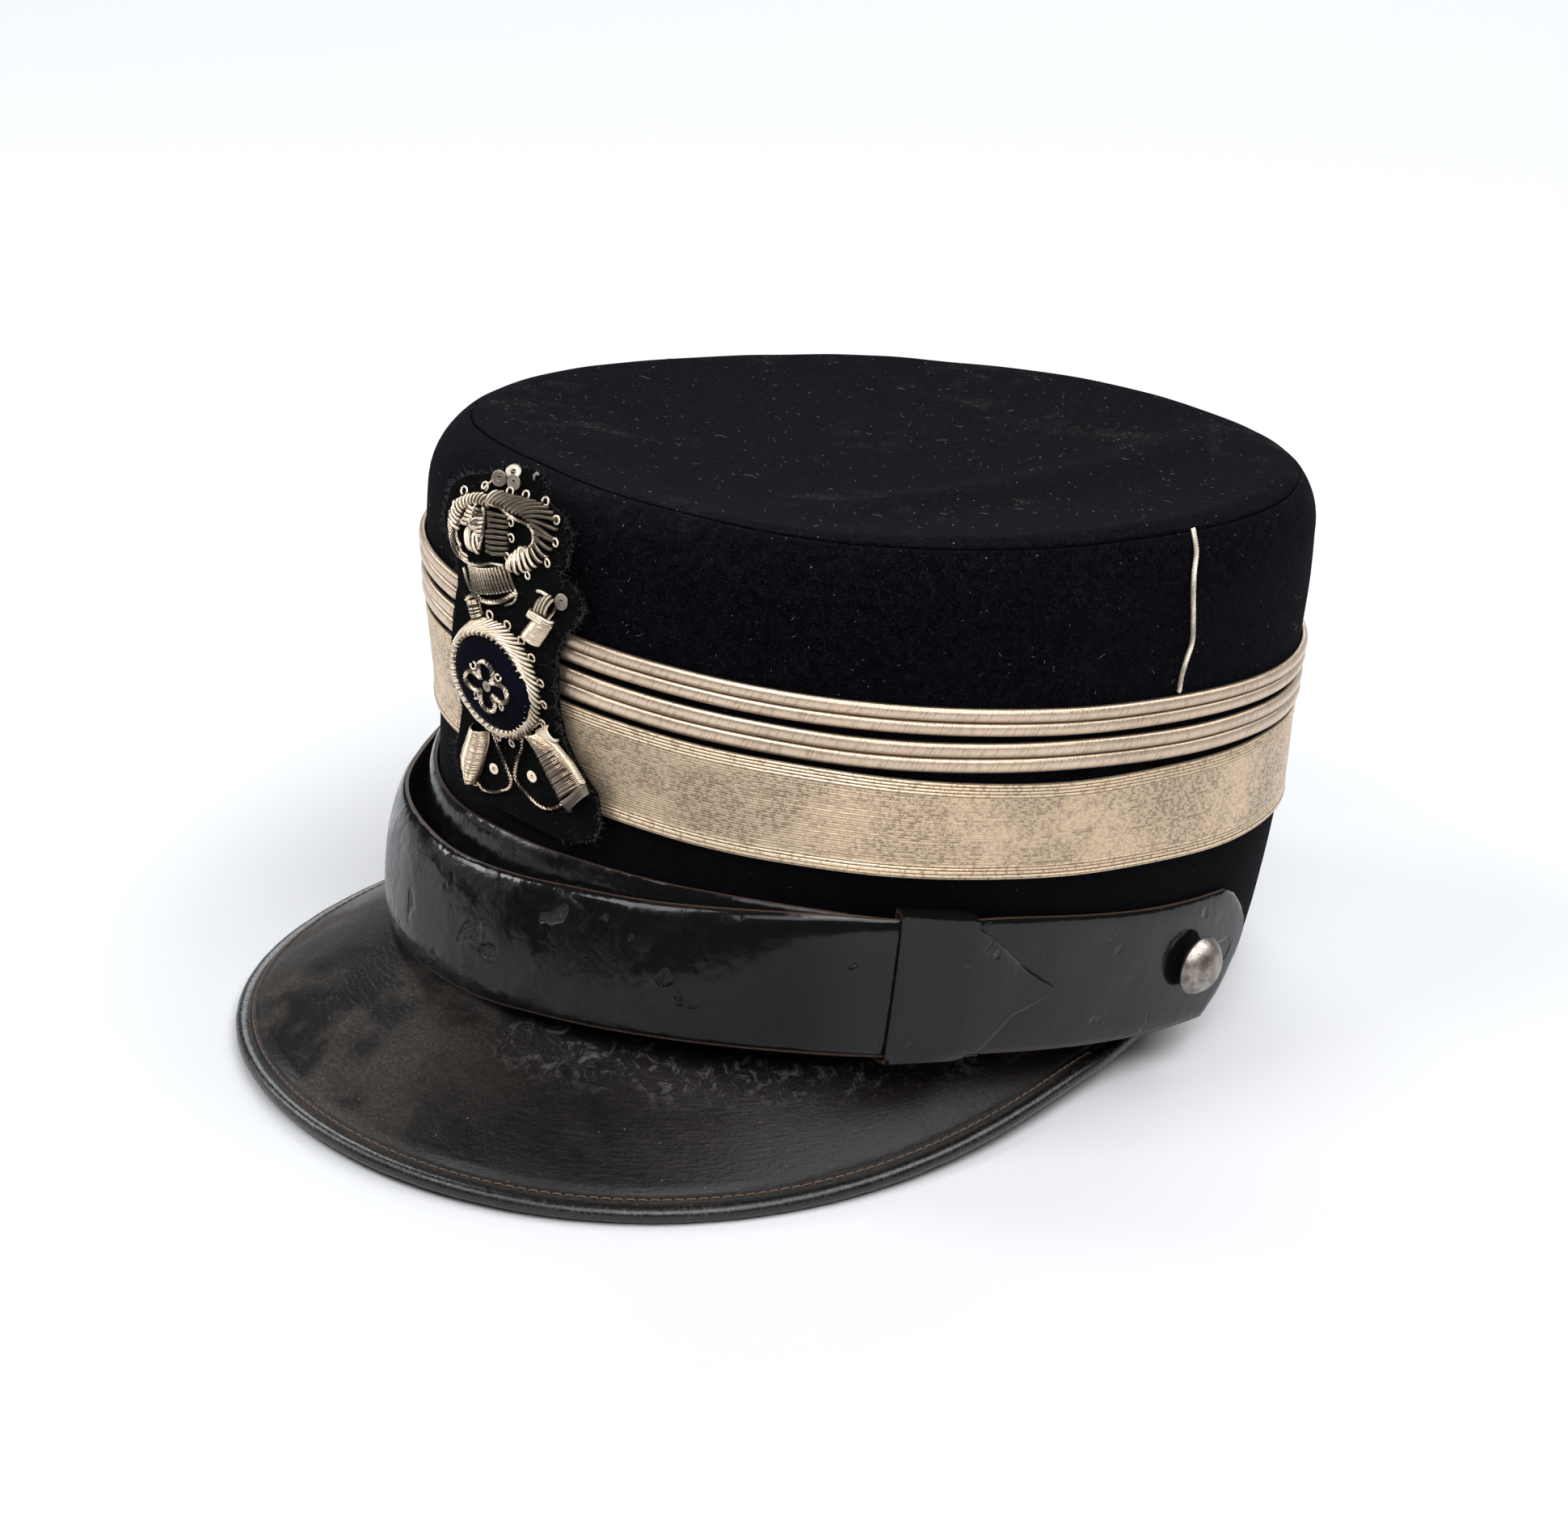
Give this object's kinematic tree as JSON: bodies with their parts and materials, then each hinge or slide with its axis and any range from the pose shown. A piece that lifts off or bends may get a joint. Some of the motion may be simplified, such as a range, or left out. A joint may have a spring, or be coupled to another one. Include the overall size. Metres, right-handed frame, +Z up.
{
  "type": "kepi cap",
  "caption": "Stiff round cloth cap with metal lace bands, an embroidered front badge, a double leather chin strap with side buttons, and a sloping leather peak.",
  "frame": {"origin": "middle of the bounding box on the surface that the cap rests on", "axes": "+Z up, -Y to the front of the cap (its peak), +X to the wearer's left; the cap lies as it rests by itself, on the edge of its peak and the back of its rim"},
  "size_m": [0.1856, 0.2524, 0.14],
  "materials": {
    "wool": "dark blue milled wool",
    "metal_lace": "tarnished pale gilt wire lace",
    "silver_thread": "tarnished silver bullion wire",
    "badge_felt": "fuzzy black felt",
    "badge_velvet": "dark blue velvet",
    "patent_leather": "glossy black patent leather",
    "peak_leather": "worn black leather",
    "pewter": "dull pewter with brown patina",
    "red_cloth": "red cloth"
  },
  "bodies": {
    "root": {"crown_side": "wool", "crown_top": "wool", "lace_wide": "metal_lace", "braid_lower": "metal_lace", "braid_upper": "metal_lace", "side_cord_left": "silver_thread", "side_cord_right": "silver_thread", "badge_patch": "badge_felt", "badge_crown": "silver_thread", "badge_ring": "silver_thread", "badge_disc": "badge_velvet", "badge_motif": "silver_thread", "badge_butt_left": "silver_thread", "badge_butt_right": "silver_thread", "badge_barrel_left": "silver_thread", "badge_barrel_right": "silver_thread", "strap_outer": "patent_leather", "strap_inner": "patent_leather", "keeper_left": "patent_leather", "keeper_right": "patent_leather", "button_left": "pewter", "button_right": "pewter", "peak": "peak_leather", "peak_binding": "peak_leather", "rim_lining": "red_cloth"}
  },
  "joints": []
}
